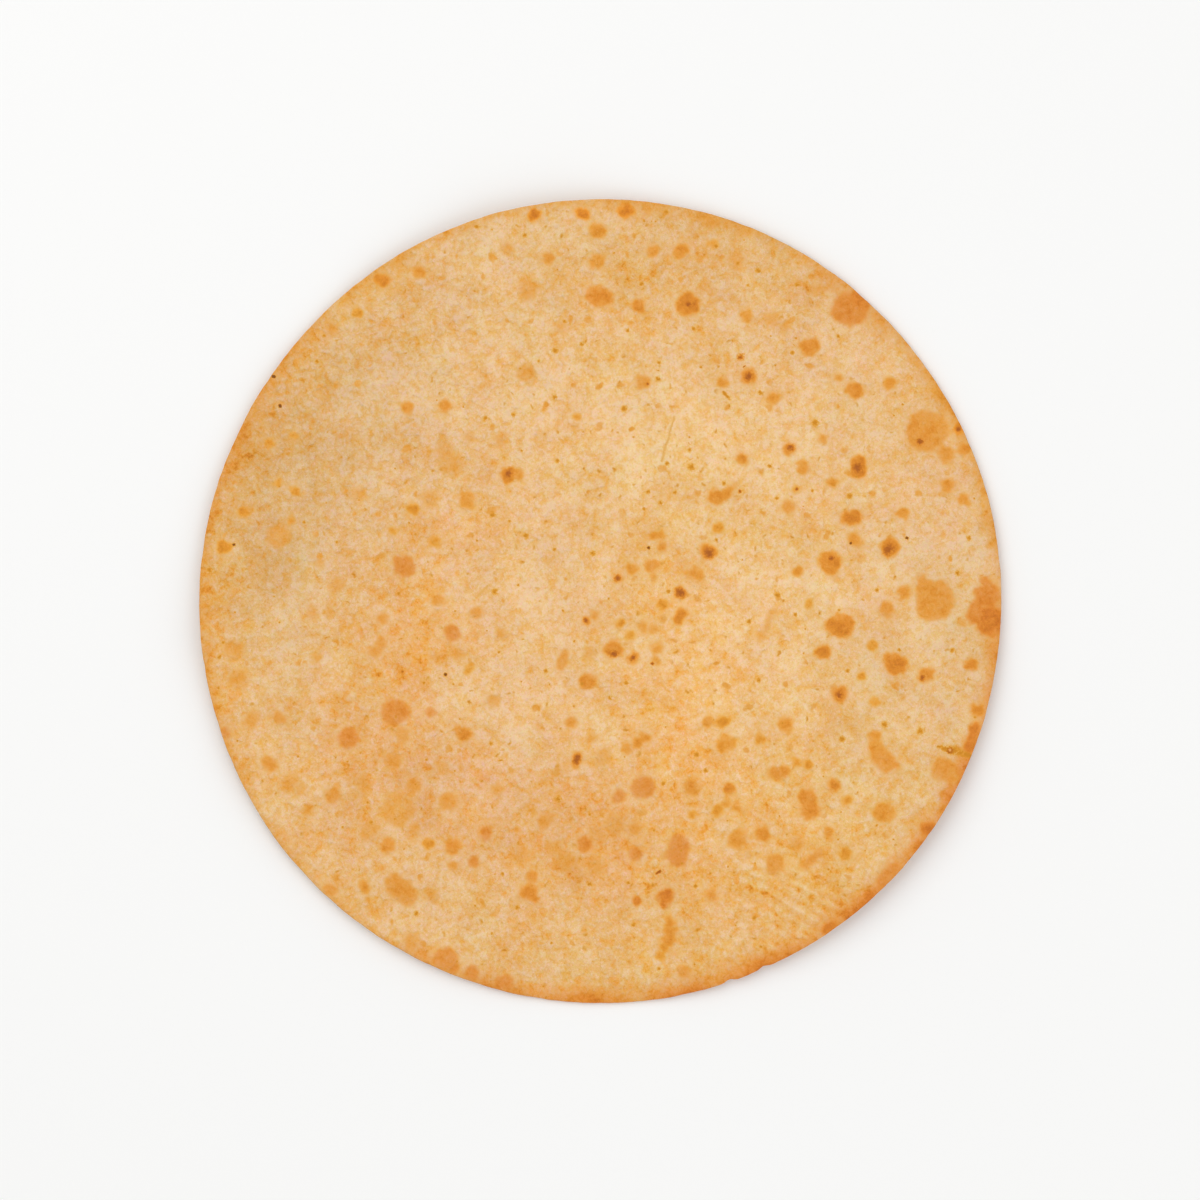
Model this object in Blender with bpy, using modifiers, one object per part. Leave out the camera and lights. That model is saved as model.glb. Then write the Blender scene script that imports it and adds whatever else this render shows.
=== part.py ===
"""Khakhra: a thin flatbread of about 180 mm, rolled round, then pressed and roasted crisp.

It is one closed solid. A sheet of dough was warped by the griddle, swelled a little at each
blister, and kept a thin rim with two crumbled notches and one short split.
Metres, +Z up. The origin is under the middle of the bread, level with its lowest spots.
"""

import math
import random

import bmesh
import bpy
from mathutils import Vector

# Driving dimensions, in metres
DIAMETER = 0.180
THICKNESS = 0.0013
RIM_THICKNESS = 0.0010
RIM_BAND = 0.006
RIM_ROUNDING = 0.0003
RADIUS = DIAMETER / 2

# The sheet is a fan of triangles, divided into rings of even small ones
FAN_SIDES = 6
RINGS = 27

# Warps round the rim: number of crests, height of each, direction of one crest.
# They die away towards the middle as a power of the distance from it.
RIM_WARPS = (
    (3, 0.0013, math.radians(88)),
    (2, 0.0004, math.radians(140)),
    (5, 0.0004, math.radians(31)),
    (8, 0.00018, math.radians(12)),
)
WARP_POWER = 2.2

# Shallow waves across the sheet: height, wavelength, direction, phase
SHEET_WAVES = (
    (0.00022, 0.074, math.radians(24), 0.6),
    (0.00016, 0.047, math.radians(118), 2.1),
    (0.00010, 0.029, math.radians(67), 4.0),
    (0.00007, 0.019, math.radians(155), 1.2),
)

# Low ridges: where each starts, where it has died out, width, height
RIDGES = (
    (Vector((-0.090, -0.011)), Vector((-0.042, 0.006)), 0.006, 0.0005),
    (Vector((0.034, 0.056)), Vector((-0.012, -0.048)), 0.011, 0.0004),
)

# The outline is not quite a circle: number of bulges, size, direction of one.
# Its unevenness fades inwards as a high power of the distance from the middle.
OUTLINE_BULGES = (
    (2, 0.00016, math.radians(70)),
    (3, 0.00012, math.radians(200)),
    (7, 0.00008, math.radians(15)),
)
OUTLINE_POWER = 26
# Where crumbs broke off the rim: direction, depth, half of the width
NOTCHES = (
    (math.radians(-71.2), 0.0007, 0.0022),
    (math.radians(-66.0), 0.0006, 0.0022),
)
# The split beside the right of the rim: its two ends, its half width, its depth
SPLIT_START = Vector((0.0750, -0.0324))
SPLIT_END = Vector((0.0820, -0.0344))
SPLIT_WIDTH = 0.0012
SPLIT_DEPTH = 0.0003

# The blisters that stand out: place and radius
BLISTERS = (
    (0.0726, 0.0380, 0.0049),
    (0.0748, 0.0007, 0.0044),
    (0.0830, -0.0015, 0.0042),
    (0.0561, 0.0662, 0.0045),
    (0.0431, 0.0729, 0.0034),
    (0.0196, 0.0667, 0.0027),
    (-0.0005, 0.0684, 0.0026),
    (-0.0162, 0.0700, 0.0022),
    (0.0534, -0.0053, 0.0029),
    (0.0516, 0.0092, 0.0025),
    (0.0659, -0.0138, 0.0025),
    (0.0648, 0.0119, 0.0021),
    (0.0576, 0.0300, 0.0025),
    (0.0261, 0.0239, 0.0023),
    (0.0773, -0.0382, 0.0034),
    (0.0634, -0.0337, 0.0030),
    (0.0634, -0.0472, 0.0023),
    (0.0469, -0.0463, 0.0029),
    (0.0400, -0.0380, 0.0022),
    (0.0095, -0.0418, 0.0022),
    (0.0176, -0.0557, 0.0028),
    (0.0026, -0.0109, 0.0022),
    (-0.0464, -0.0246, 0.0029),
    (-0.0564, -0.0304, 0.0024),
    (-0.0450, -0.0467, 0.0034),
    (-0.0443, -0.0648, 0.0025),
    (-0.0439, 0.0076, 0.0023),
    (-0.0300, 0.0226, 0.0019),
)
# Height of a blister for its radius, and the small ones, which are commoner to the right
BLISTER_RISE = 0.14
SMALL_BLISTERS = 90
SMALL_BLISTER_RADII = (0.0018, 0.0032)
BLISTERED_RADIUS = RADIUS - 0.005
FEWEST_BLISTERS = 0.2
SEED = 7

BREAD_COLOUR = (0.78, 0.45, 0.16, 1.0)


def ring_and_angle(place):
    """How far out a point of the flat fan lies, from 0 to 1, and its direction on the disc."""
    sector = 2 * math.pi / FAN_SIDES
    turn = math.atan2(place.y, place.x) - sector / 2
    corner = math.floor(turn / sector) * sector
    off_middle = turn - corner - sector / 2
    ring = place.length * math.cos(off_middle) / math.cos(sector / 2)
    along_side = 0.5 + math.tan(off_middle) / (2 * math.tan(sector / 2))
    return ring, corner + sector / 2 + along_side * sector


def outline_radius(angle):
    """Distance of the rim from the centre in one direction."""
    radius = RADIUS
    for count, size, crest in OUTLINE_BULGES:
        radius += size * math.cos(count * (angle - crest))
    for direction, depth, half_width in NOTCHES:
        away = math.remainder(angle - direction, 2 * math.pi) * RADIUS
        radius -= depth * max(0.0, 1 - abs(away) / half_width)
    return radius


def beside_line(place, start, end):
    """Distance of a point from the line between two points, and how far along it lies."""
    run = end - start
    along = min(max((place - start).dot(run) / run.length_squared, 0.0), 1.0)
    return (place - start - along * run).length, along


def warp_height(place, angle):
    """Height of the middle of the sheet: rim warps, shallow waves and ridges."""
    out = place.length / RADIUS
    height = 0.0
    for crests, size, crest in RIM_WARPS:
        height += size * out ** WARP_POWER * math.cos(crests * (angle - crest))
    for size, length, direction, phase in SHEET_WAVES:
        across = place.x * math.cos(direction) + place.y * math.sin(direction)
        height += size * math.sin(2 * math.pi * across / length + phase)
    for start, end, width, size in RIDGES:
        beside, along = beside_line(place, start, end)
        height += size * (1 - along) * math.exp(-(beside / width) ** 2)
    return height


def all_blisters():
    """The blisters that stand out, and small ones at random, more of them to the right."""
    draw = random.Random(SEED)
    blisters = list(BLISTERS)
    while len(blisters) < len(BLISTERS) + SMALL_BLISTERS:
        angle = draw.uniform(0, 2 * math.pi)
        out = BLISTERED_RADIUS * math.sqrt(draw.random())
        x, y = out * math.cos(angle), out * math.sin(angle)
        rightness = (x / BLISTERED_RADIUS + 1) / 2
        if draw.random() < FEWEST_BLISTERS + (1 - FEWEST_BLISTERS) * rightness:
            blisters.append((x, y, draw.uniform(*SMALL_BLISTER_RADII)))
    return blisters


def sheet_thickness(place, blisters):
    """Thickness of the bread: thin at the rim, swollen at blisters, dented at the split."""
    from_rim = min(max((RADIUS - place.length) / RIM_BAND, 0.0), 1.0)
    thickness = RIM_THICKNESS + (THICKNESS - RIM_THICKNESS) * from_rim
    swelling = 0.0
    for x, y, radius in blisters:
        away = ((place.x - x) ** 2 + (place.y - y) ** 2) / radius ** 2
        swelling = max(swelling, BLISTER_RISE * radius * (1 - away))
    beside, _ = beside_line(place, SPLIT_START, SPLIT_END)
    dent = SPLIT_DEPTH * max(0.0, 1 - beside / SPLIT_WIDTH)
    return thickness + swelling - dent


def lattice_sheet():
    """The middle of the sheet: even triangles, pushed out to the rim and warped."""
    sheet = bmesh.new()
    bmesh.ops.create_circle(sheet, cap_ends=True, cap_tris=True, segments=FAN_SIDES, radius=1)
    bmesh.ops.subdivide_edges(sheet, edges=sheet.edges[:], cuts=RINGS - 1, use_grid_fill=True)
    for vert in sheet.verts:
        ring, angle = ring_and_angle(vert.co)
        reach = RADIUS * ring + (outline_radius(angle) - RADIUS) * ring ** OUTLINE_POWER
        vert.co = Vector((reach * math.cos(angle), reach * math.sin(angle), 0))
        vert.co.z = warp_height(vert.co.xy, angle)
    return sheet


def thickness_group(bread):
    """A vertex group of each point's share of the thickness of the fullest point."""
    blisters = all_blisters()
    thickness = [sheet_thickness(vert.co.xy, blisters) for vert in bread.data.vertices]
    fullest = max(thickness)
    group = bread.vertex_groups.new(name="thickness")
    for index, amount in enumerate(thickness):
        group.add([index], amount / fullest, "REPLACE")
    return group.name, fullest


def bread_material():
    """Dry, pale gold crust."""
    material = bpy.data.materials.new("crisp_crust")
    material.use_nodes = True
    shader = material.node_tree.nodes["Principled BSDF"]
    shader.inputs["Base Color"].default_value = BREAD_COLOUR
    shader.inputs["Roughness"].default_value = 0.7
    shader.inputs["Metallic"].default_value = 0.0
    return material


def make_khakhra(collection):
    """The whole bread: the warped sheet, made thick, with a rounded rim."""
    sheet = lattice_sheet()
    mesh = bpy.data.meshes.new("khakhra")
    sheet.to_mesh(mesh)
    sheet.free()
    bread = bpy.data.objects.new("khakhra", mesh)
    collection.objects.link(bread)
    bread.data.materials.append(bread_material())
    mesh.shade_smooth()

    group, fullest = thickness_group(bread)
    solidify = bread.modifiers.new("thickness", "SOLIDIFY")
    solidify.thickness = fullest
    solidify.vertex_group = group
    solidify.offset = 0
    bevel = bread.modifiers.new("rounded rim", "BEVEL")
    bevel.width = RIM_ROUNDING
    bevel.segments = 1
    bevel.limit_method = "ANGLE"
    bevel.angle_limit = math.radians(60)
    return bread


def stand_at_origin(bread):
    """Put the middle of the bread's box over the origin, and its lowest spot at height 0."""
    solid = bread.evaluated_get(bpy.context.evaluated_depsgraph_get()).to_mesh()
    low = Vector([min(vert.co[axis] for vert in solid.vertices) for axis in range(3)])
    high = Vector([max(vert.co[axis] for vert in solid.vertices) for axis in range(3)])
    middle = (low + high) / 2
    bread.location = (-middle.x, -middle.y, -low.z)


def main():
    for old in list(bpy.data.objects):
        bpy.data.objects.remove(old)
    collection = bpy.data.collections.new("khakhra")
    bpy.context.scene.collection.children.link(collection)
    stand_at_origin(make_khakhra(collection))


main()
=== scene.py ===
"""Looks of the khakhra: a fine mesh of the same warped sheet, with its crumb, blisters and rim.

The one piece stands for the CAD node. Its form repeats the named sizes of the CAD sheet, and
its browning is kept in attributes on the mesh, which the crust material turns into colour.
Lengths are in metres unless a comment or a name says mm.
"""

import math

import bmesh
import bpy
import numpy as np
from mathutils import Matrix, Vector


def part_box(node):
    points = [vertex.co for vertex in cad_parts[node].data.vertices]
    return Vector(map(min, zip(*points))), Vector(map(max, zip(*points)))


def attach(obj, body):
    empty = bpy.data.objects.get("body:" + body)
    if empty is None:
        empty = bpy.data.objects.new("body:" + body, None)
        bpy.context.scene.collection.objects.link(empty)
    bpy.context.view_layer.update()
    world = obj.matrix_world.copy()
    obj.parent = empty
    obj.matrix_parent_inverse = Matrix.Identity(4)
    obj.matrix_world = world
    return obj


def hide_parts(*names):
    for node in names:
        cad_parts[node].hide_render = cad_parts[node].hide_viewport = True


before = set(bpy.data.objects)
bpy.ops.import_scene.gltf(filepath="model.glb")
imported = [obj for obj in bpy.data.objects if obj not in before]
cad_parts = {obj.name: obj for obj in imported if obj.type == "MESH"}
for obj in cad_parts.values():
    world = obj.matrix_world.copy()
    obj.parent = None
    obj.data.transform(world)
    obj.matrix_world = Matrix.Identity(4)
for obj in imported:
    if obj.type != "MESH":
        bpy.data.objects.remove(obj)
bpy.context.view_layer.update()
NODE = "khakhra"
BODY = "root"

# ---- form, as in the CAD sheet
MM = 0.001
CAD_LOW, CAD_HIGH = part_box(NODE)
RADIUS = 0.090
THICKNESS = 0.0013
RIM_THICKNESS = 0.0010
RIM_BAND = 0.006
RIM_ROUNDING = 0.0004

RIM_WARPS = (
    (3, 0.0013, math.radians(88)),
    (2, 0.0004, math.radians(140)),
    (5, 0.0004, math.radians(31)),
    (8, 0.00018, math.radians(12)),
)
WARP_POWER = 2.2
SHEET_WAVES = (
    (0.00022, 0.074, math.radians(24), 0.6),
    (0.00016, 0.047, math.radians(118), 2.1),
    (0.00010, 0.029, math.radians(67), 4.0),
    (0.00007, 0.019, math.radians(155), 1.2),
)
RIDGES = (
    ((-0.090, -0.011), (-0.042, 0.006), 0.006, 0.0005),
    ((0.034, 0.056), (-0.012, -0.048), 0.011, 0.0004),
)
OUTLINE_BULGES = (
    (2, 0.00016, math.radians(70)),
    (3, 0.00012, math.radians(200)),
    (7, 0.00008, math.radians(15)),
)
OUTLINE_POWER = 26
NOTCHES = (
    (math.radians(-71.2), 0.0006, 0.0016),
    (math.radians(-66.0), 0.0005, 0.0018),
)
# Crumbly edge of the rim: size and reach of its lumps
RIM_CRUMBLE = ((0.0022, 0.00006), (0.0055, 0.00008))
CRUMBLE_SEED = 31

# ---- the fine lattice
FAN_SIDES = 6
RINGS = 120
RIM_ROWS = 6
# Side of the field of lumps, in radii, and the gain on their heights
LUMP_FIELD = 2.4
LUMP_GAIN = 1.6

# ---- browning, in millimetres
# A look is a tone on the doneness scale below, then the shares of green and of light to add.
DEEP_RED = (-0.84, -0.1, 0.06)
RED = (-0.57, -0.1, 0.02)
BRIGHT = (-0.96, 0.02, 0.2)
DEEP_BROWN = (-0.84, -0.005, 0.09)
BROWN = (-0.71, -0.02, 0.07)
PALE_BROWN = (-0.54, -0.01, 0.045)
GOLD = (-0.7, 0.01, 0.075)
PALE_GOLD = (-0.64, 0.02, 0.075)
YELLOW = (-0.86, 0.09, 0.11)
PALE_YELLOW = (-0.7, 0.08, 0.08)
FAINT = (-0.53, 0.0, 0.04)
OLIVE = (-0.96, 0.19, 0.04)
CREASE = (-0.24, 0.07, -0.01)
CORE = (-1.42, 0.03, 0.14)
CHAR = (-1.72, 0.36, 0.04)
CHIP = (-0.1, -0.08, 0.0)
HALO = (0.3, -0.02, 0.0)

# Toasted blisters by their look: middle and radius, or two ends and half width of a long one
BLISTERS = (
    (DEEP_RED, (
        (87.3, -4.3, 3.4), (14.7, -66, 1.7), (14, -67.8, 0.7), (73, -50.7, 1.3), (57.6, 66.9, 2.8),
        (8, -67.1, 0.9), (51.7, -72.5, 50.2, -73.7, 0.9), (83.9, -28.6, 82.5, -32.4, 1.2),
    )),
    (RED, (
        (55.8, 65.6, 3.8), (86.5, 1.5, 2.8), (84, -1.5, 1.6), (-46, -24.7, 2.9), (-56.5, -30.4, 2.2),
        (-33.2, -7.1, 1.6), (4.2, -43.6, 1.3), (-3.6, -54.3, 1.5), (-34.8, -80, 2.4), (-33, -82.3, 1.2),
        (-21.6, -85.6, 1.6), (-29, -83, 1.4), (-38.2, -25, 1), (9.4, -41.7, 2.5),
        (17.6, -54.4, 17.1, -57.3, 2.1), (-44, 7.8, 2.3), (-45.3, 9.3, 1), (7.8, -56.5, 1.4),
        (-25.5, -52, 1.3), (-28.4, -58.2, 1), (-84, -29.5, 1), (86.2, 4.4, 1.2),
        (84.2, -3, 2.1), (58, 67.8, 1.2), (65.4, -60, 63, -62.4, 1),
    )),
    (BRIGHT, (
        (80.1, 38.6, 1.1), (5.5, 87.4, 1.7), (-14.7, 86.3, 1.3), (-4.8, 87.1, -3.8, 86.6, 1.2),
        (-50, 72.6, 0.8),
    )),
    (DEEP_BROWN, (
        (19.6, 66.7, 2.6), (52.8, -5.3, 54.2, -5.3, 2.4), (66, -14, 2.4), (64.6, -12.3, 1.1),
        (51.4, 8.9, 2.4), (-20.6, 28.2, 1.8), (83, -14.1, 1.4), (84.1, -24.3, 1.4), (8.6, 66.2, 1.4),
        (49.7, -11.4, 1.7), (4, 5.6, 0.9), (-3.2, -4.2, 0.8), (28.8, -42, 1.2), (18.2, -2.7, 1),
        (17.3, -3.8, 1), (64.8, 12, 2.1), (57.7, 29.3, 57.7, 30.8, 1.9), (17.8, 2, 1.3), (7.1, -12.5, 1.2),
        (24, 11.3, 1.8), (55.3, 18.7, 57.1, 19, 1.6), (-48.2, 72, 1.2), (52.1, -41.2, 1.3),
    )),
    (BROWN, (
        (-1.2, 68.4, 0.6, 68.4, 2.1), (46.3, -44, 2), (-3, -17.7, 1.8), (-5, -34.6, -5.7, -36.3, 1),
        (33, 50.6, 1.6), (53.6, -20.8, 1.8), (72.6, -16.6, 1.7), (74.3, -15.3, 0.7), (42.4, 34.4, 1.4),
        (-30.4, -29.6, 1.4), (-16.3, -65.3, 1.7), (-15, -66.8, 0.8), (56.9, 47.2, 1.8), (81.6, 34.2, 1.1),
        (2.8, -10.6, 1.9), (39.2, -38.5, 40.6, -38, 1.5), (46.9, -46.6, 2.1), (70.4, 40.6, 1.3),
        (65.6, -37, 1.1), (11.4, 8, 1.5), (-15.3, -61.8, 1.3), (-32, -28.8, 0.8), (-47.5, -54.5, 1.6),
        (-33.2, -55, 1.6), (-34.9, 43.8, 1.4), (46.9, 57.2, 1.8),
    )),
    (PALE_BROWN, (
        (-50.4, -10.9, 1.4), (-49.3, -9.5, 1.1), (-48.9, -4, 1.2), (-36.5, 0.2, 1.2), (-12.5, -49, 1.6),
        (-60.6, -64.4, 1.3), (-74.3, -36.3, 1.7), (-72.1, -26.1, 1.2), (-33.8, -44.8, 1.9), (77.5, 33, 1.7),
        (39, -59, 2), (-27.9, -2.4, 1), (-6.5, -26.9, 1.1), (-42, -41, 1.5), (-46.5, -35.5, 1.5),
        (-60, -43.6, 1.6), (7.5, -51, 1.3), (-33.2, -59.3, 1), (24.8, -66, 1.2), (18.5, -83, 1.2),
        (9.3, 49.3, 1.6), (-8.1, -11.6, -8.9, -14.3, 0.9), (20.5, -41.6, 1.6), (78.8, -39.5, 1.5),
        (-1.5, -3, 0.7), (13.9, 12.3, 0.9), (42.2, 21.2, 1.4), (45.6, -58.8, 48.9, -56.4, 0.9),
        (73, 38.2, 4.6), (74.7, 0.2, 4.4), (72.4, 3.4, 2), (71.8, 5, 1.3), (62.6, -34.5, 2),
        (64, -36.2, 2.1), (76.8, -37.5, 2.5), (-44.5, -30, 1.5), (-46, -63.2, -43.4, -65.8, 2.3),
        (-11.7, 76.9, 1.2), (63.9, -1.5, 1.6),
    )),
    (GOLD, (
        (26, 23.7, 1.9), (28, 24.3, 1.3), (-0.7, 83, 1.8), (18, 78.7, 1.6), (11.8, 78.5, 1.2),
        (31.7, 32.1, 1.2), (45.2, 30.2, 1.3), (77.8, 26.2, 1.4), (81.3, 22.8, 1.1), (67.9, 2.3, 1.2),
        (36.2, -52, 1.5), (51, -51.5, 1.2), (11.8, 6, 0.6), (15.7, -71.8, 1.1), (15.6, -73.7, 1.3),
        (15, -75.6, 1.4), (23.8, -26.8, 1.2), (-18.4, 28.3, 1.1), (-43.2, 43.4, 1.2), (6.3, -33, 1),
        (30, -45.8, 1),
    )),
    (PALE_GOLD, (
        (30.6, -53, 2), (63.4, -47.2, 2.2), (12.6, -10.6, 1.2), (7.3, 7.4, 1.1), (-0.7, 76.3, 1.7),
        (32.6, 64, 1.4), (52.9, 50.1, 1), (64.5, 49, 1.4), (39, 45.7, 1.3), (67.9, 19.7, 1.2),
        (44, 6.9, 1.1), (41.3, -27.5, 1.7), (28.6, -31.6, 1.7), (9.8, -30.5, 1), (8.2, -31.8, 1),
        (28.2, -45.1, 0.8), (61.2, -30, 1.5), (61.3, -32.5, 1.8), (-30, 22.6, 1.7),
        (11.6, 14.8, 13.6, 14.8, 0.7), (9.8, -5.8, 1.1), (11.6, -6, 0.9), (20, 6.1, 22, 6.1, 0.9),
        (27.5, 49.5, 1.2), (51.8, 26.8, 1), (49.7, 36.4, 0.9), (-40.7, 74, 1.4), (-52.8, -64, 1.1),
        (12.2, -12.8, 1), (57.2, 13.9, 1.5),
    )),
    (YELLOW, (
        (-41.8, 21, 1.1), (-74.3, 35.6, 1.1), (-84.2, 12.4, 1.4), (-85, 11.7, 0.8), (14.1, -0.7, 1),
        (-38.7, -54.3, 1.1), (-79.8, 20.2, 1.2), (43.7, -36.2, 0.9), (46.4, -36.4, 0.9), (26.1, -47.5, 0.9),
        (26.4, -46.1, 0.9), (43.9, 25.4, 0.9), (27.2, -32.8, 1.1), (14.1, -77.5, 1.1), (13.2, -79.3, 0.8),
        (25.4, 80.3, 0.8), (26.2, 16.5, 1.1), (4.3, -5.2, 1.1), (-55, 65, 1), (-5.2, 41.5, 0.9),
        (61.4, -22.4, 0.9), (20.1, -47.8, 0.9), (58.4, -16.5, 1), (27, -27, 1.5),
    )),
    (PALE_YELLOW, (
        (46.8, -0.6, 0.9), (60.5, -9.8, 1), (35.5, -30.6, 0.9), (54.7, -56.6, 1.3), (-29.5, -15, 0.9),
        (-46.8, 15.9, 0.8), (-72.4, 26.6, 0.8), (-68.8, 37, 0.7), (-37.1, 13.3, 1.1), (55.3, -44.2, 0.9),
        (-68.5, 24.8, 1.1), (6.6, -7.8, 0.8), (-69.3, 18.2, 0.7),
    )),
)
# Spots that are only a soft tint
FAINT_SPOTS = (
    (-16.2, 70, 2.4), (-16.8, 51.3, 2.1), (-78.4, -26.4, 1.8), (-45.5, -46.4, 3.8), (-42.3, -76.1, 2),
    (44, -53.9, 1.7), (-21.3, 79.4, 1.4), (-22.5, 36.4, 1.3), (-62.7, 8.7, 1), (-8, -58, 2.1),
    (-24.2, -22.2, 1.5), (-1.8, -30.4, 1), (3, -50, 2.4), (-9, 61.5, 1), (38.5, 63.5, 1.5), (41.5, 61.7, 1),
    (48.5, 70, 1.2), (-35, 33.5, 2), (-33.5, 31, 2.3), (-38.5, 23, 1.8), (-64.6, -2.5, 1.3),
    (-61.2, -2.4, 1), (-59.3, 3.5, 1.5), (-22, -7.5, 1), (-2.3, -11.4, 1.3), (-31.8, -11.5, 1.3),
    (-37, -12.5, 1), (-35.5, -37, 1.6), (-42, -50.8, 1.2), (-69.5, -40.5, 2), (-67.5, -42, 1.2),
    (-53.5, -40, -53.5, -42.5, 1.3), (-52, -51.5, 2), (-23, -42.3, 1.2), (-10, -55.5, 2), (-17.5, -57, 2),
    (-1, -52.5, 1.8), (-1, -59, 2), (-60.5, 61, 1.5), (-81, -17.3, 2.2), (-82.2, -10.9, 2.2),
    (38.6, -2, 35.9, -8.3, 0.6), (-29.6, 37.1, 1.4), (-54.5, 24, 1.6), (0.5, -34.5, 2), (-72.3, 14.8, 2.8),
    (-63.5, -12.5, 1), (29.8, 25.8, 0.8), (-38, -65.7, 1.2), (25, 85.3, 1.5), (52, 6.1, 1.2),
    (31.8, -46.8, 0.8), (30.3, 76.5, 1.8), (-65.8, -46.7, 1),
)
# Dark middles of some blisters
DARK_CORES = (
    (33, 50.5, 1), (57.5, 30, 1.1), (24.2, 11.1, 1.25), (17.8, 2, 1.15), (-5, -34.7, -5.6, -35.8, 0.85),
    (64.6, 11.5, 1.2), (51.7, 9.7, 0.7), (2.8, -11.6, 0.95), (42.8, 34.7, 0.95), (72, -17.1, 0.8),
    (31.3, 55, 0.9), (71.6, 35.9, 0.9), (7.2, -12.6, 0.7), (53.4, -20.8, 0.9), (-20.6, 28.4, 0.8),
    (10.3, 48.9, 0.4), (31, 24.6, 0.5), (43.9, 25.5, 0.45), (11.3, -14, 0.45), (78.2, -33.2, 0.8),
    (-3.2, -4.2, 0.6), (4, 5.6, 0.8), (12.4, -60.8, 13.2, -60.4, 0.4), (19.6, 66.5, 0.7), (80.1, 38.6, 0.6),
)
# Specks of char
CHAR_SPECKS = (
    (10.7, 12.1, 0.42), (-73.4, 50.5, 0.47), (-71.9, 43.9, 0.42), (-82.2, 12.8, 0.42), (-34.8, -16.3, 0.42),
    (68.6, 14.3, 0.37), (56, 13.1, 0.32),
)
# Floor of the split beside the rim
SPLIT_FLOOR = (
    (75.5, -32.4, 76.6, -32.6, 0.35), (76.8, -32.9, 0.7), (77.9, -33.2, 1), (79.2, -33.3, 1.15),
    (80.4, -33.8, 0.85), (81.7, -34.2, 0.75), (82.8, -34.6, 0.6),
)
# Olive specks by radius, and how many more are strewn, with their radii
OLIVE_MARKS = (
    (0.9, (48.1, 40.1), (71.5, -29), (20.2, 30.2)),
    (0.78, (-10.2, 56.2), (5.2, 43.2), (55.8, 23.7), (-16.8, 14.8), (-23.8, 2.3), (-9.5, -44.2),
     (54, -30.7), (63.5, -27.5)),
    (0.73, (39.5, 1.4)),
    (0.67, (35.2, 74.2), (-10.3, 45.8), (-24.2, 19.4), (12.8, 49.9), (82.5, 14.3), (79.9, 6.4),
     (78.7, -10.9), (-1.8, 10.8), (-41.3, -69.8)),
    (0.62, (33.2, -4.4), (23.5, -37.8)),
    (0.56, (-4.3, 57.7), (-17, 82), (42.9, 55.8), (44, 71), (14.7, 87.3), (20.8, 61.2), (-25.8, 41.1),
     (-19.6, 41.9), (-9.7, 31.6), (13, 53.6), (27.6, 26.6), (10.6, 24.6), (16.6, 24.5), (13.4, 22.2),
     (37.9, 30.4), (35.7, 46.9), (61.9, 2.6), (43.6, -2.9), (15.2, 2.3), (-12.3, -15.5), (-87.7, 7.1),
     (-85.4, -12.4), (5.7, -18.2), (35.4, -17.6), (-18.7, -68.5), (-2.5, -63.3), (7.3, -72.5),
     (34.4, -70.9), (21.5, -34.2)),
    (0.5, (-51.4, -49.4), (2, -21.5), (9.1, 71.2), (19.9, 34), (14.8, 31), (39.4, 23.2), (66.9, -10.8),
     (55.3, -15.5), (25.9, 13.9), (-10.4, 11.7), (-24.6, -31.8), (14, -40.7), (-22, -61), (6.2, -63),
     (21.2, -63.7), (21.7, -73.6), (13, -82.3), (-63.6, 53.9), (25.9, 79.6), (-27.8, 84), (-4.2, -18.4)),
    (0.45, (-8.1, 62.8), (-13.9, 53.9), (53.2, 59.5), (33, 70.9), (6, 60.8), (30.7, 75.8)),
    (0.39, (27.5, 46.9, 28.7, 45.6), (-59.1, 13.4), (-2.5, -47.6), (47.4, 24.9), (-45.3, 1.9)),
    (0.22, (-22.8, -35.6, -21.9, -35.5)),
)
OLIVE_SPECKS_STREWN = (110, 0.22, 0.4)
# Short creases in the skin
CREASES = (
    (16.3, 41.5, 15.6, 37, 0.3), (15.6, 37, 13.4, 31.5, 0.3), (-25.3, 4, -27.3, 1.5, 0.3),
    (-37.4, 27.5, -37.4, 26, 0.25), (-37.4, 26, -35.5, 25.3, 0.25), (12.5, 16, 14.7, 17.6, 0.4),
)
# Chips of pale crumb: the first lies in the split
PALE_CHIPS = (
    (78.2, -33.2, 0.33), (-26.8, -33.1, 0.3), (9, 27.9, 0.3), (46, 18.4, 0.3),
    (-61, 30.5, 0.3), (30.8, -9.6, 0.3),
)
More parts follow.
